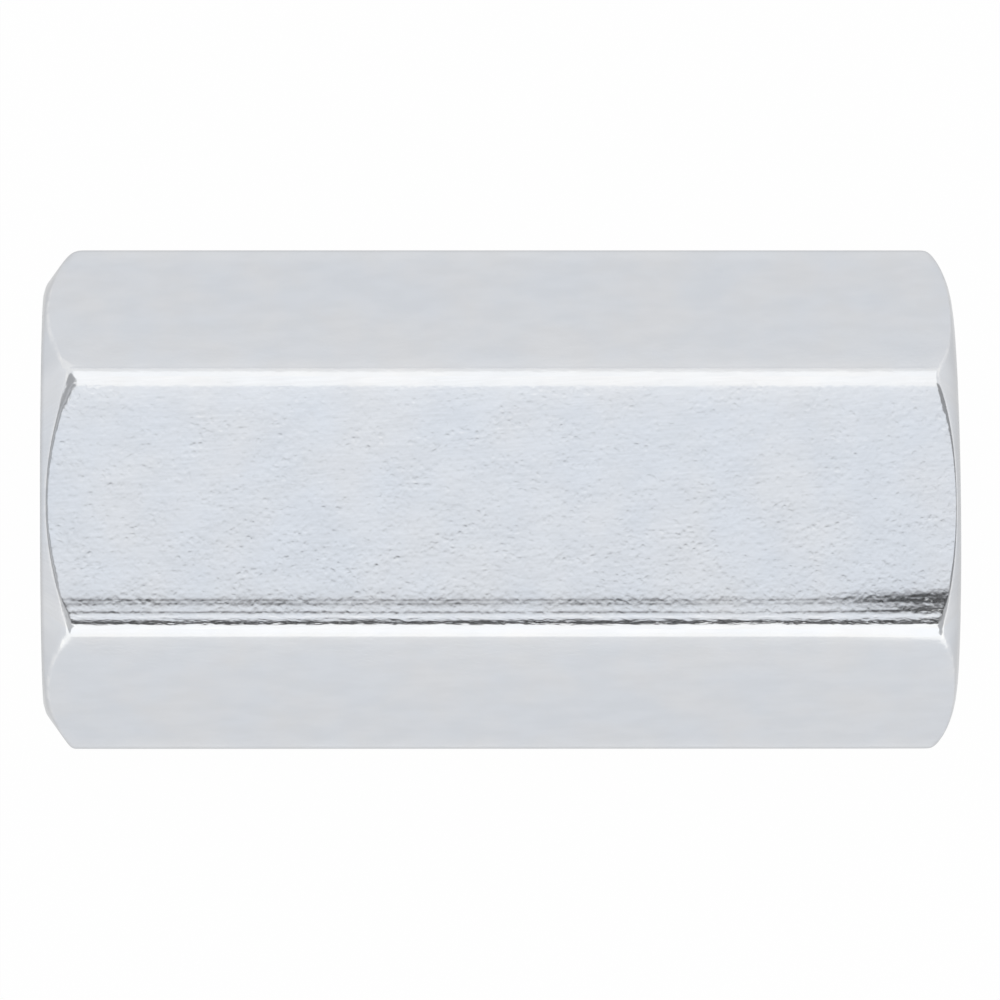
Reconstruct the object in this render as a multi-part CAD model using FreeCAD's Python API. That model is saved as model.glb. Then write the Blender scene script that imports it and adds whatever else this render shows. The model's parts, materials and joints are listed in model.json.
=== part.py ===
import FreeCAD, Part
import math
import os

# Threaded hex coupling: a long hexagon nut that joins two threaded rods end to end.
# It is one piece, cut from drawn hexagon bar, turned at both ends and tapped right through.
# Millimetres. The thread's axis is X, the origin is its middle, and one flat faces down, along -Z.

# Driving dimensions
LENGTH = 50.0
ACROSS_FLATS = 24.0
THREAD_DIAMETER = 16.0
THREAD_PITCH = 2.0
CORNER_RADIUS = 1.2  # the bar's six long edges
CHAMFER_ANGLE = 30.0  # degrees, from the end face
CHAMFER_INSET = 0.6  # from a flat in to where the chamfer meets the end face
RIM_RADIUS = 1.2  # rounds the chamfer into the end face
EDGE_RADIUS = 0.25  # rounds the chamfer into the flats and corners
COUNTERSINK_OVERSIZE = 1.3  # on the thread's diameter, at the mouth
COUNTERSINK_ANGLE = 90.0  # degrees, from side to side

# Sizes that follow from them
SIDES = 6
HALF_LENGTH = LENGTH / 2
CORNER_REACH = ACROSS_FLATS / 2 / math.cos(math.pi / SIDES)  # to a corner before it is rounded
RIM_REACH = ACROSS_FLATS / 2 - CHAMFER_INSET  # to the chamfer's start before it is rounded
CHAMFER_DEPTH = (CORNER_REACH - RIM_REACH) * math.tan(math.radians(CHAMFER_ANGLE))
BORE_RADIUS = (THREAD_DIAMETER - THREAD_PITCH) / 2  # tapping size, where the thread's crests lie
MOUTH_RADIUS = (THREAD_DIAMETER + COUNTERSINK_OVERSIZE) / 2
COUNTERSINK_DEPTH = (MOUTH_RADIUS - BORE_RADIUS) / math.tan(math.radians(COUNTERSINK_ANGLE / 2))

AXIS = FreeCAD.Vector(1, 0, 0)
CENTRE = FreeCAD.Vector(0, 0, 0)
SMALL = 1e-6  # for comparing sizes


def hexagon_bar():
    """Drawn bar with rounded corners, twice as long as the finished piece."""
    corners = []
    for side in range(SIDES + 1):
        angle = 2 * math.pi * side / SIDES
        y = CORNER_REACH * math.cos(angle)
        z = CORNER_REACH * math.sin(angle)
        corners.append(FreeCAD.Vector(-LENGTH, y, z))
    section = Part.Face(Part.makePolygon(corners))
    bar = section.extrude(AXIS * (2 * LENGTH))
    long_edges = [edge for edge in bar.Edges if edge.Length > 2 * LENGTH - SMALL]
    return bar.makeFillet(CORNER_RADIUS, long_edges)


def is_circle(edge, radius):
    """Whether the edge is a circle of that radius."""
    return isinstance(edge.Curve, Part.Circle) and abs(edge.Curve.Radius - radius) < SMALL


def turned_form():
    """All that is turned, as one revolved section: the chamfered ends, the countersinks and the bore."""
    right_half = [
        (HALF_LENGTH - COUNTERSINK_DEPTH, BORE_RADIUS),
        (HALF_LENGTH, MOUTH_RADIUS),
        (HALF_LENGTH, RIM_REACH),
        (HALF_LENGTH - CHAMFER_DEPTH, CORNER_REACH),
    ]
    left_half = [(-x, radius) for x, radius in reversed(right_half)]
    outline = right_half + left_half + right_half[:1]
    section = Part.Face(Part.makePolygon([FreeCAD.Vector(x, 0, -radius) for x, radius in outline]))
    form = section.revolve(CENTRE, AXIS, 360)
    rims = [edge for edge in form.Edges if is_circle(edge, RIM_REACH)]
    return form.makeFillet(RIM_RADIUS, rims)


def is_bar_face(face):
    """Whether the face is one of the bar's flats or rounded corners, which run along the axis."""
    surface = face.Surface
    if isinstance(surface, Part.Plane):
        return abs(surface.Axis.dot(AXIS)) < SMALL
    return isinstance(surface, Part.Cylinder) and abs(surface.Radius - CORNER_RADIUS) < SMALL


def chamfer_edges(shape):
    """The curved edges where the turned ends cut the bar's flats and corners."""
    edges = []
    for edge in shape.Edges:
        beside_bar = [is_bar_face(face) for face in shape.ancestorsOfType(edge, Part.Face)]
        if any(beside_bar) and not all(beside_bar):
            edges.append(edge)
    return edges


def hex_coupling():
    """The finished piece: the bar, where it lies inside the turned form, with its end edges broken."""
    blank = hexagon_bar().common(turned_form())
    return blank.makeFillet(EDGE_RADIUS, chamfer_edges(blank)).Solids[0]


def main():
    """Builds the piece, writes it and prints its state."""
    os.makedirs("parts", exist_ok=True)
    piece = hex_coupling()
    piece.exportStep("parts/hex_coupling.step")
    print("valid", piece.isValid(), "faces", len(piece.Faces), "volume mm3", round(piece.Volume, 1))


main()
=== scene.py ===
# %% [markdown]
# A zinc-plated hex coupling
#
# The object is a long hexagon nut. Two threaded rods are screwed into it from its two ends and meet in
# the middle. A real one starts as drawn hexagon bar. Its ends are turned, a hole is bored and tapped
# through it, and it is plated with bright zinc. This lesson follows the same order: turn a section,
# press it into a hexagon, cut the thread, then plate it and light it.

# %% Load the frame
import json
import math

import bpy
from mathutils import Matrix, Vector


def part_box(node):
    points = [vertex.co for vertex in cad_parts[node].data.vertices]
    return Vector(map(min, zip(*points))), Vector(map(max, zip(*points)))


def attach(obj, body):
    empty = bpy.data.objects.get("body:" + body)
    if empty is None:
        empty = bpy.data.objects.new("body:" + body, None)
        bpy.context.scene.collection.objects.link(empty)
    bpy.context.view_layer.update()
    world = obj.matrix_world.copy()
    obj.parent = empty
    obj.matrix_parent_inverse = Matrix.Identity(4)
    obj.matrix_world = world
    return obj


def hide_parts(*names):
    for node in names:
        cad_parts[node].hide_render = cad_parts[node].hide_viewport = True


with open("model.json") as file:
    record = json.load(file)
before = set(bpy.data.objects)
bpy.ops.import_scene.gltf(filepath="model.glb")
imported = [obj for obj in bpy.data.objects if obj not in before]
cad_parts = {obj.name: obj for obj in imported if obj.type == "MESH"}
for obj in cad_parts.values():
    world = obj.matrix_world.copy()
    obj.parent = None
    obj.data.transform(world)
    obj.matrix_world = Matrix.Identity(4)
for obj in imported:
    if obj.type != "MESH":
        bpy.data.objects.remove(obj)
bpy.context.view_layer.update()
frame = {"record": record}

# %% [markdown]
# The sizes
#
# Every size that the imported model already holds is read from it, so this picture can't drift away from
# the solid. The box gives the length and the width across flats. The corners are rounded, so they reach
# less far than a sharp hexagon's, and the shortfall gives their radius. The bore's wall comes from the
# record, and what it lacks of the full length is the two countersinks.

# %% Read the sizes
MM = 0.001
NODE = "hex_coupling"
low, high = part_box(NODE)
length = high[0] - low[0]
across_flats = high[2] - low[2]
across_corners = high[1] - low[1]
sharp_reach = across_flats / math.sqrt(3)
corner_radius = (sharp_reach - across_corners / 2) / (2 / math.sqrt(3) - 1)

bore = next(mount for mount in frame["record"]["mounts"] if mount["kind"] == "threaded_hole")
bore_radius = bore["dims"]["r_mm"] * MM
countersink = (length - bore["dims"]["length_mm"] * MM) / 2
print(f"{length / MM:.1f} mm long, {across_flats / MM:.1f} across flats, corners {corner_radius / MM:.2f}")
print(f"bore {2 * bore_radius / MM:.1f} mm, countersinks {countersink / MM:.2f} mm deep")

# %% [markdown]
# The camera
#
# The coupling lies on one flat and is seen from straight above through a long lens, so its long edges
# stay parallel. The camera stands a little to the side of the middle. That small offset decides how much
# each end bulges and which of the two bright edges looks wider.

# %% Place the camera
CAMERA_HEIGHT = 800 * MM
CAMERA_ASIDE = (-10 * MM, 11 * MM)
PICTURE_WIDTH = 54.85 * MM
PICTURE_CENTRE = (0.017 * MM, -0.02 * MM, 0.0)
SENSOR_WIDTH = 36.0
NEAREST_SEEN = 10 * MM

lens = bpy.data.cameras.new("studio_camera")
camera = bpy.data.objects.new("studio_camera", lens)
bpy.context.collection.objects.link(camera)
bpy.context.scene.camera = camera
camera.location = (CAMERA_ASIDE[0], CAMERA_ASIDE[1], CAMERA_HEIGHT)
aim = Vector(PICTURE_CENTRE) - camera.location
right = aim.cross(Vector((0, 1, 0))).normalized()
upward = right.cross(aim).normalized()
camera.rotation_euler = Matrix((right, upward, -aim.normalized())).transposed().to_euler()
lens.sensor_width = SENSOR_WIDTH
lens.lens = SENSOR_WIDTH * aim.length / PICTURE_WIDTH
lens.clip_start = NEAREST_SEEN
print(f"lens {lens.lens:.0f} mm at {aim.length / MM:.0f} mm")

# %% [markdown]
# The turned section
#
# On a lathe the whole form of an end is one outline that goes round the axis: bore, countersink, end
# face, a soft rim and the chamfer. A Screw modifier could spin such an outline, but the next step needs
# to press the spun shape into a hexagon, so the outline is drawn here as a loop of edges and Geometry
# Nodes spin it. The two ends were turned one after the other and differ a little: the left chamfer is
# straight, the right one is rounder.

# %% The form of the two ends
LEFT_END = {"angle": math.radians(35.5), "inset": 0.45 * MM, "rim": 1.5 * MM}
RIGHT_END = {"angle": math.radians(38.9), "inset": -0.14 * MM, "rim": 5.1 * MM}
MOUTH_RADIUS = 0.2 * MM
OUTER_ALLOWANCE = 1.8 * MM

half = length / 2
half_width = across_flats / 2
mouth = bore_radius + countersink
outer = sharp_reach + OUTER_ALLOWANCE


def set_back(radius, angle, inset, rim):
    """How far a turned end lies behind its face at a radius: flat face, rim arc, straight chamfer."""
    corner = half_width - inset
    past = radius - (corner - rim * math.tan(angle / 2))
    if past <= 0:
        return 0.0
    if past <= rim * math.sin(angle):
        return rim - math.sqrt(rim**2 - past**2)
    return (radius - corner) * math.tan(angle)


for name, end in (("left", LEFT_END), ("right", RIGHT_END)):
    print(f"{name} chamfer lies {set_back(sharp_reach, **end) / MM:.2f} mm back at the sharp corners")


# %% [markdown]
# Rows of points are set close together where the flats will cut the chamfer, because the edge there has
# to come out crisp, and far apart where nothing bends.


# %% Draw one half of the outline
def steps(start, end, spacing):
    """Evenly spaced values from start up to, but not including, end, about that far apart."""
    count = max(1, round(abs(end - start) / spacing))
    return [start + (end - start) * step / count for step in range(count)]


def bend(before, corner, after, radius, rows):
    """An arc that rounds off a corner between two straight runs, with both of its ends."""
    back = (before - corner).normalized()
    ahead = (after - corner).normalized()
    opening = back.angle(ahead)
    inward = (back + ahead).normalized()
    centre = corner + inward * radius / math.sin(opening / 2)
    first = corner + back * radius / math.tan(opening / 2) - centre
    last = corner + ahead * radius / math.tan(opening / 2) - centre
    return [centre + first.slerp(last, row / rows).normalized() * radius for row in range(rows + 1)]


MOUTH_ROWS = 4
FACE_SPACING = 0.4 * MM
CUT_SPACING = 0.05 * MM
OUTER_SPACING = 0.25 * MM
BODY_SPACING = 1.9 * MM
CUT_MARGIN_INSIDE = 0.3 * MM
CUT_MARGIN_OUTSIDE = 0.1 * MM
bore_end = Vector((half - countersink, bore_radius))
mouth_arc = bend(bore_end, Vector((half, mouth)), Vector((half, half_width)), MOUTH_RADIUS, MOUTH_ROWS)
cut_start = half_width - CUT_MARGIN_INSIDE
cut_end = sharp_reach + CUT_MARGIN_OUTSIDE
face_radii = (
    steps(mouth_arc[-1].y, cut_start, FACE_SPACING)[1:]
    + steps(cut_start, cut_end, CUT_SPACING)
    + steps(cut_end, outer, OUTER_SPACING)
    + [outer]
)
print(len(face_radii), "rows on each end, from the mouth outwards")


# %% Close the outline into a loop of edges
def half_outline(end):
    """Points from the middle of the bore, round one end, to the middle of the outside."""
    face = [Vector((half - set_back(radius, **end), radius)) for radius in face_radii]
    body = [Vector((x, outer)) for x in steps(face[-1].x, 0.0, BODY_SPACING)[1:]]
    return [Vector((0, bore_radius)), bore_end] + mouth_arc + face + body + [Vector((0, outer))]


right_half = half_outline(RIGHT_END)
left_half = [Vector((-point.x, point.y)) for point in reversed(half_outline(LEFT_END)[1:-1])]
outline = right_half + left_half
section = bpy.data.meshes.new("turned_section")
rows = len(outline)
section.from_pydata(
    [(point.y - bore_radius, -point.x, 0) for point in outline],
    [(row, (row + 1) % rows) for row in range(rows)],
    [],
)
coupling = bpy.data.objects.new("hex_coupling_zinc", section)
bpy.context.collection.objects.link(coupling)
print(rows, "rows round the section")

# %% [markdown]
# Helpers for node trees
#
# Trees that are built in a script read better when adding a node and linking it is one call. An input
# takes a plain value or another node's output.


# %% Node helpers
def add(tree, kind, inputs=None, **settings):
    """Adds a node, sets its options, and fills its inputs with values or links."""
    made = tree.nodes.new(kind)
    for name, value in settings.items():
        setattr(made, name, value)
    for name, value in (inputs or {}).items():
        socket = made.inputs[name]
        if isinstance(value, bpy.types.NodeSocket):
            tree.links.new(value, socket)
        else:
            socket.default_value = value
    return made


def calculate(tree, operation, *values):
    """One Math node, with values or links in order; gives its output."""
    return add(tree, "ShaderNodeMath", dict(enumerate(values)), operation=operation).outputs[0]


def draw_curve(tree, value, places, handles):
    """A Float Curve drawn through the given places; gives its output."""
    made = add(tree, "ShaderNodeFloatCurve", {"Value": value})
    made.mapping.extend = "HORIZONTAL"
    points = made.mapping.curves[0].points
    while len(points) < len(places):
        points.new(0.5, 0.5)
    for point, place in zip(points, places):
        point.location = place
        point.handle_type = handles
    made.mapping.update()
    return made.outputs[0]


def ramp(tree, value, start, end, low=0.0, high=1.0):
    """A smooth step of a value: low at start, high at end."""
    limits = {"Value": value, "From Min": start, "From Max": end, "To Min": low, "To Max": high}
    return add(tree, "ShaderNodeMapRange", limits, interpolation_type="SMOOTHSTEP").outputs[0]


# %% Helpers for whole trees
def new_tree(name, sizes):
    """A geometry tree with a mesh going in and out, a number for each named size, and a material."""
    tree = bpy.data.node_groups.new(name, "GeometryNodeTree")
    tree.interface.new_socket("Geometry", in_out="INPUT", socket_type="NodeSocketGeometry")
    for size in sizes:
        tree.interface.new_socket(size, in_out="INPUT", socket_type="NodeSocketFloat")
    tree.interface.new_socket("Material", in_out="INPUT", socket_type="NodeSocketMaterial")
    tree.interface.new_socket("Geometry", in_out="OUTPUT", socket_type="NodeSocketGeometry")
    return tree, tree.nodes.new("NodeGroupInput").outputs


def end_tree(tree, geometry, material):
    """Ends a tree in real geometry that carries the material."""
    real = add(tree, "GeometryNodeRealizeInstances", {"Geometry": geometry})
    plated = add(tree, "GeometryNodeSetMaterial", {"Geometry": real.outputs[0], "Material": material})
    add(tree, "NodeGroupOutput", {"Geometry": plated.outputs[0]})


def use_tree(piece, tree, values):
    """Puts a tree on a piece and sets its inputs by their identifiers."""
    modifier = piece.modifiers.new(tree.name, "NODES")
    modifier.node_group = tree
    for item in tree.interface.items_tree:
        if item.in_out == "INPUT" and item.name in values:
            modifier[item.identifier] = values[item.name]
    print(tree.name, "has", len(tree.nodes), "nodes")


# %% [markdown]
# From the turned form to a hexagon
#
# The first tree spins the outline round the axis and then presses it into a hexagon. Each point knows
# its angle, and a rounded hexagon has a simple rule for how far out it reaches at that angle: a flat is
# a straight line, a corner is an arc. The point keeps the smaller of the two radii, its turned one and
# the hexagon's. A smooth minimum does that and rounds the chamfer's edge at the same time, very little on
# the flats and more on the corners, which get knocked about.

# %% Polar helpers
SIDES = 6
SIDE_ANGLE = 2 * math.pi / SIDES


def to_polar(tree, position):
    """Distance from the Z axis, angle round it, and height, as three outputs."""
    parts = add(tree, "ShaderNodeSeparateXYZ", {"Vector": position}).outputs
    flat = add(tree, "ShaderNodeCombineXYZ", {"X": parts["X"], "Y": parts["Y"]}).outputs[0]
    distance = add(tree, "ShaderNodeVectorMath", {0: flat}, operation="LENGTH").outputs["Value"]
    return distance, calculate(tree, "ARCTAN2", parts["Y"], parts["X"]), parts["Z"]


def from_polar(tree, distance, angle, height):
    """The point at that distance, angle and height."""
    x = calculate(tree, "MULTIPLY", distance, calculate(tree, "COSINE", angle))
    y = calculate(tree, "MULTIPLY", distance, calculate(tree, "SINE", angle))
    return add(tree, "ShaderNodeCombineXYZ", {"X": x, "Y": y, "Z": height}).outputs[0]


def side_and_place(tree, angle):
    """Which side of the hexagon an angle is on, and how far across that side, from 0 to 1."""
    turn = calculate(tree, "ADD", calculate(tree, "DIVIDE", angle, SIDE_ANGLE), 0.5)
    turn = calculate(tree, "WRAP", turn, float(SIDES), 0.0)
    return calculate(tree, "FLOOR", turn), calculate(tree, "FRACT", turn)


def lean_at(tree, place):
    """The angle from the middle of a side to that place across it."""
    return calculate(tree, "MULTIPLY", calculate(tree, "SUBTRACT", place, 0.5), SIDE_ANGLE)


print(f"{SIDES} sides of {math.degrees(SIDE_ANGLE):.0f} degrees")

# %% [markdown]
# The spun shape needs columns where the hexagon bends, at its corners, and in the fine rut that comes
# below, but hardly any on the flats. So the columns of each side are shared out by a Float Curve: across
# is the share of the columns, up is the share of the side.

# %% Share out the columns
COLUMNS_ON_A_SIDE = 70
RUT_WIDTH = 1.6 * MM


def share_of_side(across):
    """How far across a side, from 0 to 1, a distance from the middle of the flat lies."""
    return 0.5 + math.atan2(across, half_width) / SIDE_ANGLE


flat_end = (half_width - corner_radius) * math.tan(SIDE_ANGLE / 2)
COLUMN_SHARES = [
    (0.0, 0.0),
    (0.13, share_of_side(-flat_end)),
    (0.47, share_of_side(flat_end - RUT_WIDTH)),
    (0.87, share_of_side(flat_end)),
    (1.0, 1.0),
]
print(COLUMNS_ON_A_SIDE * SIDES, "columns round the bar")

# %% Spin the outline
bar, given = new_tree(
    "turned hexagon bar",
    ["Columns", "Bore Radius", "Half Width", "Corner Radius", "Flat Edge", "Corner Edge", "Corner Wear",
     "Rut Width", "Rut Depth", "Droop", "Droop Width", "Saw Slant", "Half Length"],
)
circle = add(
    bar,
    "GeometryNodeCurvePrimitiveCircle",
    {"Resolution": given["Columns"], "Radius": given["Bore Radius"]},
    mode="RADIUS",
).outputs[0]
distance, angle, height = to_polar(bar, add(bar, "GeometryNodeInputPosition").outputs[0])
side, place = side_and_place(bar, angle)
shared = lean_at(bar, draw_curve(bar, place, COLUMN_SHARES, "VECTOR"))
moved = calculate(bar, "MULTIPLY_ADD", side, SIDE_ANGLE, shared)
path = add(
    bar,
    "GeometryNodeSetPosition",
    {"Geometry": circle, "Position": from_polar(bar, distance, moved, height)},
).outputs[0]
path = add(bar, "GeometryNodeSetCurveNormal", {"Curve": path}, mode="Z_UP").outputs[0]
loop = add(bar, "GeometryNodeMeshToCurve", {"Mesh": given["Geometry"]}).outputs[0]
turned = add(bar, "GeometryNodeCurveToMesh", {"Curve": path, "Profile Curve": loop}).outputs[0]
print(len(bar.nodes), "nodes spin the outline")

# %% The rule of the rounded hexagon
distance, angle, height = to_polar(bar, add(bar, "GeometryNodeInputPosition").outputs[0])
side, place = side_and_place(bar, angle)
lean = lean_at(bar, place)
along = calculate(bar, "MULTIPLY", given["Half Width"], calculate(bar, "TANGENT", lean))
from_middle = calculate(bar, "ABSOLUTE", along)
inner = calculate(bar, "SUBTRACT", given["Half Width"], given["Corner Radius"])
flat_ends = calculate(bar, "MULTIPLY", inner, math.tan(SIDE_ANGLE / 2))
flat = calculate(bar, "DIVIDE", given["Half Width"], calculate(bar, "COSINE", lean))

arc_centre = calculate(bar, "DIVIDE", inner, math.cos(SIDE_ANGLE / 2))
off_corner = calculate(bar, "SUBTRACT", SIDE_ANGLE / 2, calculate(bar, "ABSOLUTE", lean))
sideways = calculate(bar, "MULTIPLY", arc_centre, calculate(bar, "SINE", off_corner))
squares = [calculate(bar, "POWER", value, 2.0) for value in (given["Corner Radius"], sideways)]
rise = calculate(bar, "SQRT", calculate(bar, "SUBTRACT", *squares))
arc = calculate(bar, "MULTIPLY_ADD", arc_centre, calculate(bar, "COSINE", off_corner), rise)

on_corner = calculate(bar, "GREATER_THAN", from_middle, flat_ends)
plain = add(
    bar,
    "GeometryNodeSwitch",
    {"Switch": on_corner, "False": flat, "True": arc},
    input_type="FLOAT",
).outputs[0]
print(f"each flat ends {flat_end / MM:.2f} mm from its middle")

# %% [markdown]
# Drawing the bar through its die leaves a fine rut along one edge of each flat: the flat dips very
# slightly, and a small lip stands before the rounded corner. It is only hundredths of a millimetre deep,
# but polished metal shows it as dark and bright lines. A Float Curve draws its cross-section, from the
# corner at its left to the flat at its right. One flat has it strongly and the others faintly. It comes
# and goes along the bar, and widens a little towards the right end.

# %% The rut's shape along one edge of each flat
RUT_SHAPE = [
    (0.0, 0.95),
    (0.08, 0.98),
    (0.15, 0.96),
    (0.22, 0.77),
    (0.29, 0.74),
    (0.41, 0.66),
    (0.53, 0.42),
    (0.56, 0.39),
    (0.65, 0.18),
    (0.76, 0.08),
    (0.90, 0.02),
    (1.0, 0.0),
]
WIDENING_REACH = (15 * MM, 24 * MM)
WIDENED = 1.25
from_corner = calculate(bar, "SUBTRACT", flat_ends, along)
widening = ramp(bar, height, *WIDENING_REACH, 1.0, WIDENED)
rut_width = calculate(bar, "MULTIPLY", given["Rut Width"], widening)
across_rut = calculate(bar, "DIVIDE", from_corner, rut_width)
rut = draw_curve(bar, across_rut, RUT_SHAPE, "AUTO_CLAMPED")
print(f"rut {RUT_WIDTH / MM:.1f} mm wide, {WIDENED * RUT_WIDTH / MM:.1f} at the right end")

# %% The rut's strength, along the bar and from flat to flat
RUT_SEED = 52
RUT_FADE = 0.7 * MM
RUT_WAVE = 9 * MM
RUT_UNEVENNESS = 0.3
WAVES_BETWEEN_SIDES = 3.7
NOISE_SPAN = (0.3, 0.7)  # nearly all the values of a noise lie between these


def random_share(tree, number, seed):
    """A share from 0 to 1 that belongs to a number and a seed."""
    choice = {2: 0.0, 3: 1.0, "ID": number, "Seed": seed}
    return add(tree, "FunctionNodeRandomValue", choice, data_type="FLOAT").outputs[1]


waves = calculate(bar, "DIVIDE", height, RUT_WAVE)
comes_and_goes = add(
    bar,
    "ShaderNodeTexNoise",
    {"W": calculate(bar, "MULTIPLY_ADD", side, WAVES_BETWEEN_SIDES, waves), "Scale": 1.0},
    noise_dimensions="1D",
).outputs["Fac"]
strength = ramp(bar, comes_and_goes, *NOISE_SPAN, 1 - RUT_UNEVENNESS, 1 + RUT_UNEVENNESS)
die_wear = random_share(bar, side, RUT_SEED)
strength = calculate(bar, "MULTIPLY", strength, die_wear)
strength = calculate(bar, "MULTIPLY", strength, ramp(bar, from_corner, -RUT_FADE, 0.0))
depth = calculate(bar, "MULTIPLY", calculate(bar, "MULTIPLY", rut, strength), given["Rut Depth"])
hexagon = calculate(bar, "SUBTRACT", plain, depth)
print(len(bar.nodes), "nodes make the hexagon with its ruts")

# %% [markdown]
# Every one of the twelve corners has had its own knocks. A Random Value node gives each corner its own
# amount of rounding, from the corner's number and a fixed seed. A second one makes a few of the corners
# droop, which is to say that the last millimetres of the long edge are pressed down, mostly on one side.

# %% A few drooping corners
DROOP_SEED = 1727
DROOP_SHAPE = [(0.0, 1.0), (0.27, 0.98), (0.38, 0.86), (0.62, 0.44), (0.85, 0.1), (1.0, 0.0)]
DROOP_REACH = (18 * MM, 24 * MM)
DROOP_RARITY = 3.0
DROOP_NARROW_SIDE = 0.33
MIDDLE_BAND = 1 * MM
nearest = calculate(bar, "ROUND", calculate(bar, "ADD", side, place))
corner_number = calculate(bar, "WRAP", nearest, float(SIDES), 0.0)
at_right_end = calculate(bar, "GREATER_THAN", height, 0.0)
corner_number = calculate(bar, "MULTIPLY_ADD", at_right_end, float(SIDES), corner_number)
to_corner = calculate(bar, "MULTIPLY", given["Half Width"], math.tan(SIDE_ANGLE / 2))
to_corner = calculate(bar, "SUBTRACT", to_corner, from_middle)
one_sided = ramp(bar, along, -MIDDLE_BAND, MIDDLE_BAND, DROOP_NARROW_SIDE, 1.0)
droop_width = calculate(bar, "MULTIPLY", given["Droop Width"], one_sided)
across_droop = calculate(bar, "DIVIDE", to_corner, droop_width)
droop = draw_curve(bar, across_droop, DROOP_SHAPE, "AUTO_CLAMPED")
near_end = ramp(bar, calculate(bar, "ABSOLUTE", height), *DROOP_REACH, 0.0, given["Droop"])
few = calculate(bar, "POWER", random_share(bar, corner_number, DROOP_SEED), DROOP_RARITY)
droop = calculate(bar, "MULTIPLY", calculate(bar, "MULTIPLY", droop, near_end), few)
hexagon = calculate(bar, "SUBTRACT", hexagon, droop)
print(f"corners droop over their last {(half - DROOP_REACH[0]) / MM:.0f} mm")

# %% Press the turned form into the hexagon
WEAR_SEED = 237
knocks = random_share(bar, corner_number, WEAR_SEED)
worn_edge = calculate(bar, "MULTIPLY_ADD", knocks, given["Corner Wear"], given["Corner Edge"])
near_corner = calculate(bar, "SUBTRACT", flat_ends, given["Corner Radius"])
rounding = ramp(bar, from_middle, near_corner, flat_ends, given["Flat Edge"], worn_edge)
pressed = calculate(bar, "SMOOTH_MIN", distance, hexagon, rounding)
print(len(bar.nodes), "nodes up to the pressed form")

# %% [markdown]
# Three things about the shape matter to the plating later, so they are kept as attributes on the points:
# how close a point is to the chamfer's edge, how close it is to a long corner, and how much wear the die
# had that drew this flat. The first gets a lighter colour, partly rubbed wear and partly a painted
# highlight along the edge, the second gets rubbed bright, and the last one leaves the skin rough. The right
# end was sawn a little out of square, so its points slide along the bar by their place across.

# %% Keep these places and finish the bar
EDGE_RUB_AND_HIGHLIGHT_REACH = 0.22 * MM
CORNER_RUB_START = 0.35 * MM
CORNER_RUB_END = 0.55 * MM
off_edge = calculate(bar, "ABSOLUTE", calculate(bar, "SUBTRACT", distance, hexagon))
past_flat = calculate(bar, "SUBTRACT", from_middle, flat_ends)
# The edge mask lightens the colour later: rubbed wear, and a painted highlight along the chamfer's edge.
kept = {
    "die_wear": die_wear,
    "edge_rub_and_highlight": ramp(bar, off_edge, EDGE_RUB_AND_HIGHLIGHT_REACH, 0.0),
    "corner_rub": ramp(bar, past_flat, CORNER_RUB_START, CORNER_RUB_END),
}
for name, value in kept.items():
    turned = add(
        bar,
        "GeometryNodeStoreNamedAttribute",
        {"Geometry": turned, "Name": name, "Value": value},
        data_type="FLOAT",
        domain="POINT",
    ).outputs[0]
across_bar = calculate(bar, "MULTIPLY", pressed, calculate(bar, "SINE", angle))
from_near_side = calculate(bar, "ADD", across_bar, given["Half Width"])
sawn_off = calculate(bar, "MULTIPLY", from_near_side, given["Saw Slant"])
share = calculate(bar, "DIVIDE", calculate(bar, "MAXIMUM", height, 0.0), given["Half Length"])
sawn = calculate(bar, "SUBTRACT", height, calculate(bar, "MULTIPLY", sawn_off, share))
body = add(
    bar,
    "GeometryNodeSetPosition",
    {"Geometry": turned, "Position": from_polar(bar, pressed, angle, sawn)},
).outputs[0]
laid = add(bar, "GeometryNodeTransform", {"Geometry": body, "Rotation": (0, math.pi / 2, 0)}).outputs[0]
end_tree(bar, laid, given["Material"])
print("kept on the points:", ", ".join(kept))

# %% [markdown]
# The thread
#
# The rods need a standard metric thread: flanks at 60 degrees, one turn for each pitch. A Screw
# modifier can wind a tooth, but a cut made with a Boolean runs out cleanly in the countersinks, as a real
# tap's does. So the second tree winds a groove along a spiral and takes it out of the bar. Blender's
# spiral winds to the left, and it is reversed because the rods have right-hand threads.

# %% Wind a groove
PITCH = 2.0 * MM
ROOT_FLAT = PITCH / 8
FLANK_LEAN = math.radians(30)
thread_radius = bore_radius + PITCH / 2

tap, given = new_tree(
    "tapped thread",
    ["Length", "Pitch", "Thread Radius", "Depth", "Root Flat", "Steps"],
)
turns = calculate(tap, "ADD", calculate(tap, "DIVIDE", given["Length"], given["Pitch"]), 1.0)
travel = calculate(tap, "MULTIPLY", turns, given["Pitch"])
spiral = add(
    tap,
    "GeometryNodeCurveSpiral",
    {
        "Resolution": given["Steps"],
        "Rotations": turns,
        "Start Radius": given["Thread Radius"],
        "End Radius": given["Thread Radius"],
        "Height": travel,
        "Reverse": True,
    },
).outputs[0]
spiral = add(tap, "GeometryNodeSetCurveNormal", {"Curve": spiral}, mode="Z_UP").outputs[0]
flare = calculate(tap, "MULTIPLY", given["Depth"], 2 * math.tan(FLANK_LEAN))
tooth = add(
    tap,
    "GeometryNodeCurvePrimitiveQuadrilateral",
    {
        "Bottom Width": calculate(tap, "ADD", given["Root Flat"], flare),
        "Top Width": given["Root Flat"],
        "Height": given["Depth"],
        "Offset": 0.0,
    },
    mode="TRAPEZOID",
).outputs[0]
half_depth = calculate(tap, "MULTIPLY", given["Depth"], -0.5)
inwards = add(tap, "ShaderNodeCombineXYZ", {"X": half_depth}).outputs[0]
tooth = add(
    tap,
    "GeometryNodeTransform",
    {"Geometry": tooth, "Translation": inwards, "Rotation": (0, 0, -math.pi / 2)},
).outputs[0]
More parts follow.
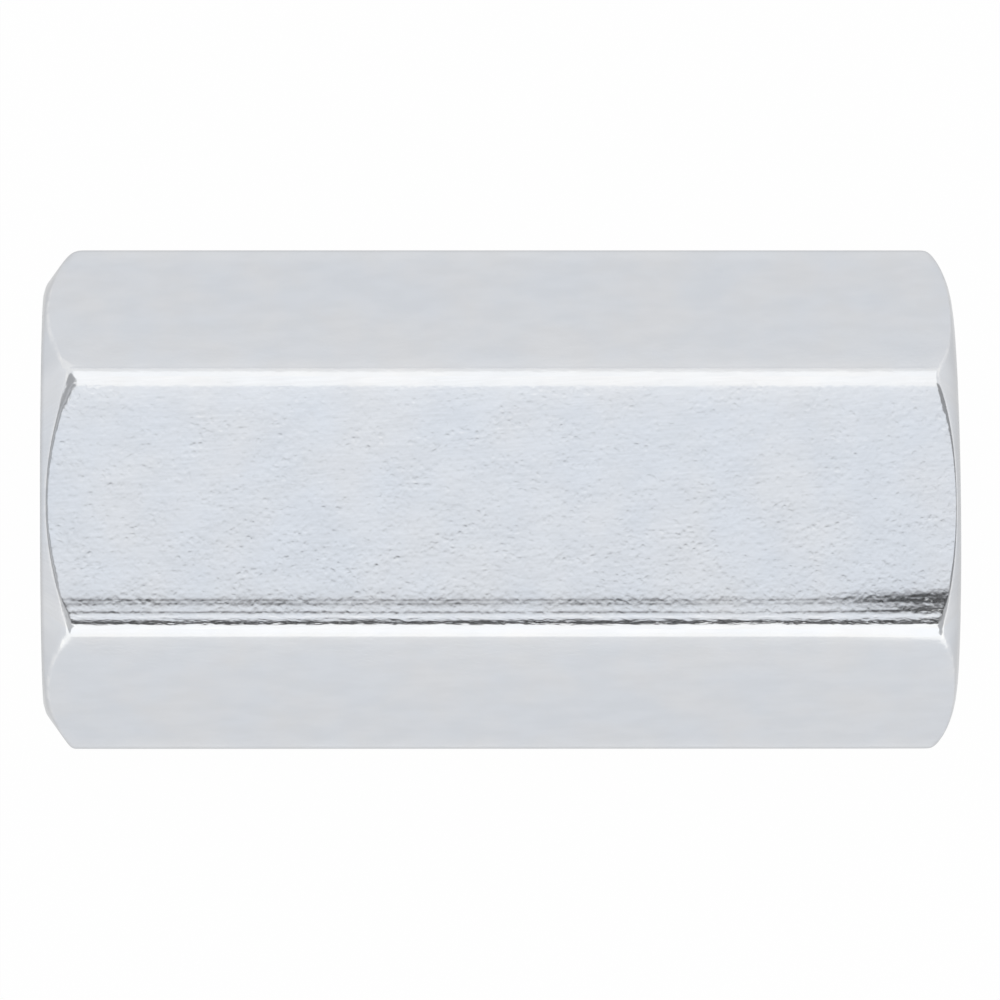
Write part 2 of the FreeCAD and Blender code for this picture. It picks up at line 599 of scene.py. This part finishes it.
groove = add(
    tap,
    "GeometryNodeCurveToMesh",
    {"Curve": spiral, "Profile Curve": tooth, "Fill Caps": True},
).outputs[0]
print(f"thread of {2 * thread_radius / MM:.0f} mm, {PITCH / MM:.0f} mm a turn")

# %% Cut the groove out of the bar
half_travel = calculate(tap, "MULTIPLY", travel, -0.5)
back = add(tap, "ShaderNodeCombineXYZ", {"X": half_travel}).outputs[0]
groove = add(
    tap,
    "GeometryNodeTransform",
    {"Geometry": groove, "Translation": back, "Rotation": (0, math.pi / 2, 0)},
).outputs[0]
cut = add(
    tap,
    "GeometryNodeMeshBoolean",
    {"Mesh 1": given["Geometry"], "Mesh 2": groove},
    operation="DIFFERENCE",
    solver="MANIFOLD",
).outputs[0]
end_tree(tap, cut, given["Material"])
print(f"about {length / PITCH:.0f} turns through the bar")

# %% [markdown]
# Bright zinc plating
#
# Zinc plating is pale blue-grey metal, and its passivation adds faint clouds of blue and warm grey. The
# flats keep the skin of the drawn bar under the plating: small pits, soft ripples, and fine lines nearly
# along the bar. The ends keep the rings of the turning tool. Corners and edges are rubbed smooth by
# handling, and a lighter colour along them is partly that rubbed wear and partly painted light: a painted
# highlight along the chamfer's edge and a painted sheen beside the long corners. A pattern in plain Object
# coordinates would cut through the six flats at different angles, so the skin is drawn on the unrolled bar
# instead, a plane with the six sides laid end to end: how far along, and how far across the side.

# %% Unroll the bar for its material
SIDE_GAP = 60 * MM
# Painted shade: this tint darkens the metal's glancing reflections in place of the floor's shadow close
# beside the piece.
GLANCING_SHADE_TINT = (0.72, 0.72, 0.72, 1)
zinc = bpy.data.materials.new("zinc_plated_steel")
zinc.use_nodes = True
plate = zinc.node_tree
shader = plate.nodes["Principled BSDF"]
shader.inputs["Metallic"].default_value = 1.0
shader.inputs["Specular Tint"].default_value = GLANCING_SHADE_TINT
where = add(plate, "ShaderNodeTexCoord").outputs["Object"]
parts = add(plate, "ShaderNodeSeparateXYZ", {"Vector": where}).outputs
downwards = calculate(plate, "MULTIPLY", parts["Z"], -1.0)
stood_up = {"X": downwards, "Y": parts["Y"], "Z": parts["X"]}
standing = add(plate, "ShaderNodeCombineXYZ", stood_up).outputs[0]
distance, angle, height = to_polar(plate, standing)
side, place = side_and_place(plate, angle)
across = calculate(plate, "MULTIPLY", calculate(plate, "TANGENT", lean_at(plate, place)), half_width)
along_all = calculate(plate, "MULTIPLY_ADD", side, SIDE_GAP, height)
unrolled = add(plate, "ShaderNodeCombineXYZ", {"X": along_all, "Y": across}).outputs[0]
print(len(plate.nodes), "nodes unroll the bar")


# %% Helpers on the unrolled bar
def kept_value(name):
    """What the shape's tree kept at this place under that name."""
    return add(plate, "ShaderNodeAttribute", attribute_name=name, attribute_type="GEOMETRY").outputs["Fac"]


def slanted(size, slant):
    """Places on the unrolled bar, turned by a slant in degrees and measured in that length and width."""
    turn = {"Vector": unrolled, "Rotation": (0, 0, math.radians(slant)), "Scale": (*size, 1.0)}
    return add(plate, "ShaderNodeMapping", turn, vector_type="TEXTURE").outputs[0]


def noise(size, detail=2.0, slant=0.0):
    """Noise on the unrolled bar with blotches about that long and wide."""
    blotches = {"Vector": slanted(size, slant), "Scale": 1.0, "Detail": detail}
    return add(plate, "ShaderNodeTexNoise", blotches, noise_dimensions="2D").outputs["Fac"]


# %% Clouds of blue and warm grey, rubbed edges with a painted highlight, and painted sheen by the corners
ZINC_BLUE = (0.656, 0.683, 0.727, 1)
ZINC_WARM = (0.676, 0.690, 0.717, 1)
ZINC_RUBBED_AND_SHEEN = (0.785, 0.795, 0.810, 1)
CLOUD_SIZE = (4.5 * MM, 5.5 * MM)
CLOUD_SPAN = (0.35, 0.68)
RUB_AND_HIGHLIGHT_SPOT_SIZE = (0.8 * MM, 0.8 * MM)
RUB_AND_HIGHLIGHT_SPOT_SPAN = (0.35, 0.65)
EDGE_RUB_AND_HIGHLIGHT_SHARE = (0.15, 0.75)
CORNER_SHEEN_WIDTH = 1.4 * MM
CORNER_SHEEN = 0.25
clouds = noise(CLOUD_SIZE, detail=5.0)
tint = add(plate, "ShaderNodeValToRGB", {"Fac": clouds})
for element, spot, colour in zip(tint.color_ramp.elements, CLOUD_SPAN, (ZINC_BLUE, ZINC_WARM)):
    element.position = spot
    element.color = colour
edge_rub_and_highlight = kept_value("edge_rub_and_highlight")
corner_rub = kept_value("corner_rub")
uneven = ramp(plate, noise(RUB_AND_HIGHLIGHT_SPOT_SIZE, detail=3.0), *RUB_AND_HIGHLIGHT_SPOT_SPAN, *EDGE_RUB_AND_HIGHLIGHT_SHARE)
edge_rub_and_highlight = calculate(plate, "MULTIPLY", edge_rub_and_highlight, uneven)
from_middle = calculate(plate, "ABSOLUTE", across)
# Painted sheen: the flats get lighter towards each corner, a painted highlight beside the bright bands.
painted_corner_sheen = ramp(plate, from_middle, flat_end - CORNER_SHEEN_WIDTH, flat_end, 0.0, CORNER_SHEEN)
rub_and_sheen = calculate(plate, "MAXIMUM", edge_rub_and_highlight, painted_corner_sheen)
# The lighter zinc colour carries rubbed wear, the painted highlight along the chamfer's edge and the
# painted sheen beside the corners.
worn_and_sheen = add(
    plate,
    "ShaderNodeMix",
    {0: rub_and_sheen, 6: tint.outputs["Color"], 7: ZINC_RUBBED_AND_SHEEN},
    data_type="RGBA",
).outputs[2]
print(len(plate.nodes), "nodes with the clouds and rubbed edges")

# %% Streaks and hairlines
GRAIN_SLANT = -7
STREAK_SIZE = (2.4 * MM, 1.4 * MM)
STREAK_CONTRAST = 0.015
HAIRLINE_SIZE = (2.2 * MM, 0.15 * MM)
HAIRLINE_CONTRAST = 0.013
streaks = noise(STREAK_SIZE, detail=5.0, slant=GRAIN_SLANT)
streaks = ramp(plate, streaks, *NOISE_SPAN, 1 - STREAK_CONTRAST, 1 + STREAK_CONTRAST)
hairlines = noise(HAIRLINE_SIZE, slant=GRAIN_SLANT / 2)
hairlines = ramp(plate, hairlines, *NOISE_SPAN, -HAIRLINE_CONTRAST, HAIRLINE_CONTRAST)
streaks = calculate(plate, "MULTIPLY_ADD", hairlines, kept_value("die_wear"), streaks)
streaky = add(plate, "ShaderNodeHueSaturation", {"Value": streaks, "Color": worn_and_sheen}).outputs[0]
plate.links.new(streaky, shader.inputs["Base Color"])
print(len(plate.nodes), "nodes with the streaks")

# %% [markdown]
# The skin's pits are only thousandths of a millimetre deep, too fine to model. They show because their
# small slopes mirror other parts of the room, so painted spots would look wrong as soon as the piece
# turns. A height for the Bump node does it: Voronoi cells give one soft pit each, bent out of round by a
# noise and of different depths, and another noise adds the ripples between them.

# %% Pits and ripples
PIT_SPACING = (0.39 * MM, 0.38 * MM)
PIT_SHAPE = [(0.0, 0.0), (0.12, 0.08), (0.30, 0.45), (0.45, 0.82), (0.60, 0.98), (1.0, 1.0)]
PIT_DEPTHS = (0.275, 0.935)
PIT_WOBBLE = (0.5, 0.5, 0.0)
WOBBLES_IN_A_PIT = 1.5
RIPPLE_SIZE = (0.36 * MM, 0.34 * MM)
RIPPLE_HEIGHT = 1.55
CLUMP_SIZE = (3 * MM, 1.3 * MM)
CLUMP_SHARE = (0.6, 1.0)
FAINT_SKIN = 0.3
spots = slanted(PIT_SPACING, GRAIN_SLANT)
ragged = {"Vector": spots, "Scale": WOBBLES_IN_A_PIT, "Detail": 1.0}
wobble = add(plate, "ShaderNodeTexNoise", ragged, noise_dimensions="2D").outputs["Color"]
shaken = {0: wobble, 1: PIT_WOBBLE, 2: spots}
spots = add(plate, "ShaderNodeVectorMath", shaken, operation="MULTIPLY_ADD").outputs[0]
scattered = {"Vector": spots, "Scale": 1.0}
cells = add(plate, "ShaderNodeTexVoronoi", scattered, voronoi_dimensions="2D").outputs
pit = draw_curve(plate, cells["Distance"], PIT_SHAPE, "AUTO_CLAMPED")
pit = calculate(plate, "SUBTRACT", pit, PIT_SHAPE[-1][1])
chance = add(plate, "ShaderNodeSeparateColor", {"Color": cells["Color"]}).outputs[0]
pit = calculate(plate, "MULTIPLY", pit, ramp(plate, chance, 0.0, 1.0, *PIT_DEPTHS))
clumps = ramp(plate, noise(CLUMP_SIZE, slant=2 * GRAIN_SLANT), *NOISE_SPAN, *CLUMP_SHARE)
ripples = noise(RIPPLE_SIZE, detail=1.0, slant=GRAIN_SLANT)
skin = calculate(plate, "MULTIPLY_ADD", ripples, RIPPLE_HEIGHT, pit)
skin = calculate(plate, "MULTIPLY", skin, clumps)
skin = calculate(plate, "MULTIPLY", skin, ramp(plate, kept_value("die_wear"), 0.0, 1.0, FAINT_SKIN, 1.0))
print(f"pits about {PIT_SPACING[0] / MM:.2f} mm apart")

# %% [markdown]
# The die has pressed the skin a little smoother in the rut, apart from its right end, which is scuffed.
# Where the flat turns into the corner, it has torn the skin: ragged scores nearly along the bar, much
# deeper than the pits. They break the dark line there into dashes.

# %% Torn skin at the start of the corners
RUT_ROUGHNESS = 0.8
SCUFFED_ROUGHNESS = 1.28
SCUFFED_REACH = (18 * MM, 23 * MM)
LIP_ROUGHNESS = 0.6
SCORE_SIZE = (0.8 * MM, 0.26 * MM)
SCORE_SLANT = 4
TEAR_DEPTH = 2.8


def by_flat_end(start, end, low=0.0, high=1.0):
    """A smooth step across a side, between two places that are measured from the end of its flat."""
    return ramp(plate, across, flat_end + start, flat_end + end, low, high)


scuffed = ramp(plate, height, *SCUFFED_REACH, RUT_ROUGHNESS, SCUFFED_ROUGHNESS)
in_rut = by_flat_end(-1.8 * MM, -0.9 * MM, 1.0, scuffed)
skin = calculate(plate, "MULTIPLY", skin, in_rut)
on_lip = by_flat_end(-0.25 * MM, -0.05 * MM, 1.0, LIP_ROUGHNESS)
skin = calculate(plate, "MULTIPLY", skin, on_lip)
torn = by_flat_end(-0.20 * MM, 0.05 * MM)
torn = calculate(plate, "MULTIPLY", torn, by_flat_end(0.60 * MM, 0.45 * MM))
scores = noise(SCORE_SIZE, slant=SCORE_SLANT)
skin = calculate(plate, "MULTIPLY_ADD", calculate(plate, "MULTIPLY", scores, torn), TEAR_DEPTH, skin)
print(len(plate.nodes), "nodes with the whole skin")

# %% [markdown]
# The ends were turned, so they have the tool's rings and not the skin of the bar. A noise that reads
# nothing but the distance from the axis gives such rings. The way a face looks, along the bar or
# outwards, decides which of the two reliefs it gets.

# %% Rings of the turning tool
RING_SPACING = 0.12 * MM
END_FACING = (0.15, 0.35)
rings = add(
    plate,
    "ShaderNodeTexNoise",
    {"W": calculate(plate, "DIVIDE", distance, RING_SPACING), "Scale": 1.0, "Detail": 1.0},
    noise_dimensions="1D",
).outputs["Fac"]
normal = add(plate, "ShaderNodeNewGeometry").outputs["Normal"]
facing = add(plate, "ShaderNodeSeparateXYZ", {"Vector": normal}).outputs
on_end = ramp(plate, calculate(plate, "ABSOLUTE", facing["X"]), *END_FACING)
relief = add(plate, "ShaderNodeMix", {0: on_end, 2: skin, 3: rings}, data_type="FLOAT").outputs[0]
print(f"rings about {RING_SPACING / MM:.2f} mm apart")

# %% Bump and roughness
GRAIN_DEPTH = 0.0058 * MM
RUBBED_GRAIN = 0.15
ROUGHNESS = (0.17, 0.18)
RUBBED_SMOOTHER = 0.05
strength = ramp(plate, corner_rub, 0.0, 1.0, 1.0, RUBBED_GRAIN)
bump = add(plate, "ShaderNodeBump", {"Height": relief, "Strength": strength, "Distance": GRAIN_DEPTH})
plate.links.new(bump.outputs[0], shader.inputs["Normal"])
roughness = ramp(plate, clumps, *CLUMP_SHARE, *ROUGHNESS)
roughness = calculate(plate, "MULTIPLY_ADD", corner_rub, -RUBBED_SMOOTHER, roughness)
plate.links.new(roughness, shader.inputs["Roughness"])
print("zinc has", len(plate.nodes), "nodes")

# %% [markdown]
# Both trees now run, each with its sizes, and what they make becomes a plain mesh. The modifiers could
# stay on the piece, but a plain mesh looks the same in every other program. Edges that bend by more than
# 35 degrees keep a crisp shade, and all others are shaded smooth.

# %% Run both trees
GROOVE_DEPTH = 1.45 * MM  # deeper than the thread, so that the groove's open side stands clear of the wall
STEPS_IN_A_TURN = 84.0
use_tree(
    coupling,
    bar,
    {
        "Columns": float(COLUMNS_ON_A_SIDE * SIDES),
        "Bore Radius": bore_radius,
        "Half Width": half_width,
        "Half Length": half,
        "Corner Radius": corner_radius,
        "Flat Edge": 0.22 * MM,
        "Corner Edge": 0.25 * MM,
        "Corner Wear": 0.9 * MM,
        "Rut Width": RUT_WIDTH,
        "Rut Depth": 0.047 * MM,
        "Droop": 0.12 * MM,
        "Droop Width": 2.4 * MM,
        "Saw Slant": 0.012,
        "Material": zinc,
    },
)
use_tree(
    coupling,
    tap,
    {
        "Length": length,
        "Pitch": PITCH,
        "Thread Radius": thread_radius,
        "Depth": GROOVE_DEPTH,
        "Root Flat": ROOT_FLAT,
        "Steps": STEPS_IN_A_TURN,
        "Material": zinc,
    },
)

# %% Keep the plain mesh
CRISP_ANGLE = math.radians(35)
mesh = bpy.data.meshes.new_from_object(coupling.evaluated_get(bpy.context.evaluated_depsgraph_get()))
coupling.modifiers.clear()
coupling.data = mesh
mesh.shade_smooth()
mesh.set_sharp_from_angle(angle=CRISP_ANGLE)
print(len(mesh.vertices), "points", sum(len(face.vertices) - 2 for face in mesh.polygons), "triangles")
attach(coupling, "root")
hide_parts(NODE)

# %% [markdown]
# The studio
#
# Polished metal looks like whatever stands round it. The studio is a white room with a white floor. Two
# bright panels stand along the sides and draw the bright bands on the long corners, and a wide panel
# hangs overhead. Dark cards beside it draw the thin dark lines along the edges, and cards at the two ends
# shade the chamfers.

# %% Floor
bpy.context.scene.view_settings.view_transform = "Standard"
FLOOR_SIZE = 6.0
FLOOR_WHITE = (0.96, 0.96, 0.96, 1)
FLOOR_GLOW = 0.98
WHITE = (1, 1, 1, 1)


def seen_directly(tree):
    """1 for what the camera, a reflection or a see-through surface looks at, and 0 for the light itself."""
    rays = add(tree, "ShaderNodeLightPath").outputs
    shown = calculate(tree, "MAXIMUM", rays["Is Camera Ray"], rays["Is Glossy Ray"])
    return calculate(tree, "MAXIMUM", shown, rays["Is Transmission Ray"])


def card(name, width, depth, material):
    """A flat card at the origin, facing up."""
    sheet = bpy.data.meshes.new(name)
    x, y = width / 2, depth / 2
    sheet.from_pydata([(-x, -y, 0), (x, -y, 0), (x, y, 0), (-x, y, 0)], [], [(0, 1, 2, 3)])
    sheet.materials.append(material)
    made = bpy.data.objects.new(name, sheet)
    bpy.context.collection.objects.link(made)
    return made


floor_paint = bpy.data.materials.new("white_floor")
floor_paint.use_nodes = True
paint = floor_paint.node_tree
paint.nodes.clear()
matt = add(paint, "ShaderNodeBsdfDiffuse", {"Color": FLOOR_WHITE})
glow = add(paint, "ShaderNodeEmission", {"Color": WHITE, "Strength": 1.0})
glowing = calculate(paint, "MULTIPLY", seen_directly(paint), FLOOR_GLOW)
mix = add(paint, "ShaderNodeMixShader", {0: glowing, 1: matt.outputs[0], 2: glow.outputs[0]})
add(paint, "ShaderNodeOutputMaterial", {"Surface": mix.outputs[0]})
floor = card("floor", FLOOR_SIZE, FLOOR_SIZE, floor_paint)
floor.location = (0, 0, low[2])
print(f"floor {-low[2] / MM:.0f} mm below the axis")

# %% Surroundings
world = bpy.data.worlds.new("white_room")
bpy.context.scene.world = world
world.use_nodes = True
background = world.node_tree.nodes["Background"]
background.inputs["Color"].default_value = WHITE
background.inputs["Strength"].default_value = 1.0
print(world.name, "shines at", background.inputs["Strength"].default_value)

# %% [markdown]
# A panel or card is easiest to place by what the metal sees: from which tilt to which tilt away from
# straight up, on which side. A surface that leans by some angle mirrors what stands at twice that angle.


# %% How a panel or card is placed
def shining(name, colour, strength):
    """A material that shines by itself."""
    finish = bpy.data.materials.new(name)
    finish.use_nodes = True
    finish.node_tree.nodes.clear()
    shine = add(finish.node_tree, "ShaderNodeEmission", {"Color": (*colour, 1), "Strength": strength})
    add(finish.node_tree, "ShaderNodeOutputMaterial", {"Surface": shine.outputs[0]})
    return finish


def panel(name, heading, start, end, width, distance, colour, strength):
    """A card that spans two tilts at a heading, which goes from the right round to the far side.

    Angles are in degrees, and sizes in metres."""
    span = 2 * distance * math.tan(math.radians(end - start) / 2)
    made = card(name, width, span, shining(name, colour, strength))
    lean = math.radians(start + end) / 2
    x, y = math.cos(math.radians(heading)), math.sin(math.radians(heading))
    made.location = Vector((x * math.sin(lean), y * math.sin(lean), math.cos(lean))) * distance
    made.rotation_euler = made.location.to_track_quat("Z", "Y").to_euler()
    made.visible_camera = False
    print(f"{name}: {width / MM:.0f} x {span / MM:.0f} mm")


# %% Panels and cards
NEUTRAL = (1.0, 0.99, 0.97)
WARM = (1.0, 0.985, 0.95)
COOL = (0.955, 0.975, 1.0)
PLAIN = (1.0, 1.0, 1.0)
RIGHT, FAR, LEFT, NEAR = 0, 90, 180, 270
SLANTWISE = 42
panel("overhead_panel", FAR, -14, 17, 0.5, 0.9, COOL, 1.13)
panel("far_panel", FAR, 6, 91, 0.5, 0.5, NEUTRAL, 1.31)
panel("near_panel", NEAR, 24, 91, 0.6, 0.5, NEUTRAL, 1.37)
panel("right_card", RIGHT, 14, 70, 0.4, 0.45, PLAIN, 0.40)
for start, end, strength in ((14, 24, 0.40), (24, 44, 0.64), (44, 70, 0.46)):
    panel(f"left_card_from_{start}", LEFT, start, end, 0.4, 0.45, PLAIN, strength)
panel("far_left_card", LEFT - SLANTWISE, 35, 89, 0.3, 0.42, PLAIN, 0.50)
panel("near_left_card", LEFT + SLANTWISE, 35, 89, 0.3, 0.42, PLAIN, 0.70)
panel("near_right_card", RIGHT - SLANTWISE, 35, 89, 0.3, 0.42, PLAIN, 0.60)
for start, end, strength in ((5.5, 8.0, 0.80), (8.0, 10.5, 0.50), (10.5, 23.5, 0.02)):
    panel(f"near_card_from_{start}", NEAR, start, end, 0.3, 0.45, PLAIN, strength)

# %% [markdown]
# The sloping flats mirror the floor close by. Two bright strips lie on the floor just outside the picture.
# The upper edges of those flats catch their light softly.

# %% Strips on the floor
STRIP_START = 52 * MM
STRIP_DEPTH = 450 * MM
STRIP_LENGTH = 0.9
STRIP_LIFT = 0.5 * MM
for name, towards, colour, strength in (("far_strip", 1, NEUTRAL, 1.10), ("near_strip", -1, WARM, 1.38)):
    strip = card(name, STRIP_LENGTH, STRIP_DEPTH, shining(name, colour, strength))
    strip.location = (0, towards * (STRIP_START + STRIP_DEPTH / 2), low[2] + STRIP_LIFT)
    strip.visible_camera = False
    print(f"{name} starts {STRIP_START / MM:.0f} mm from the axis")
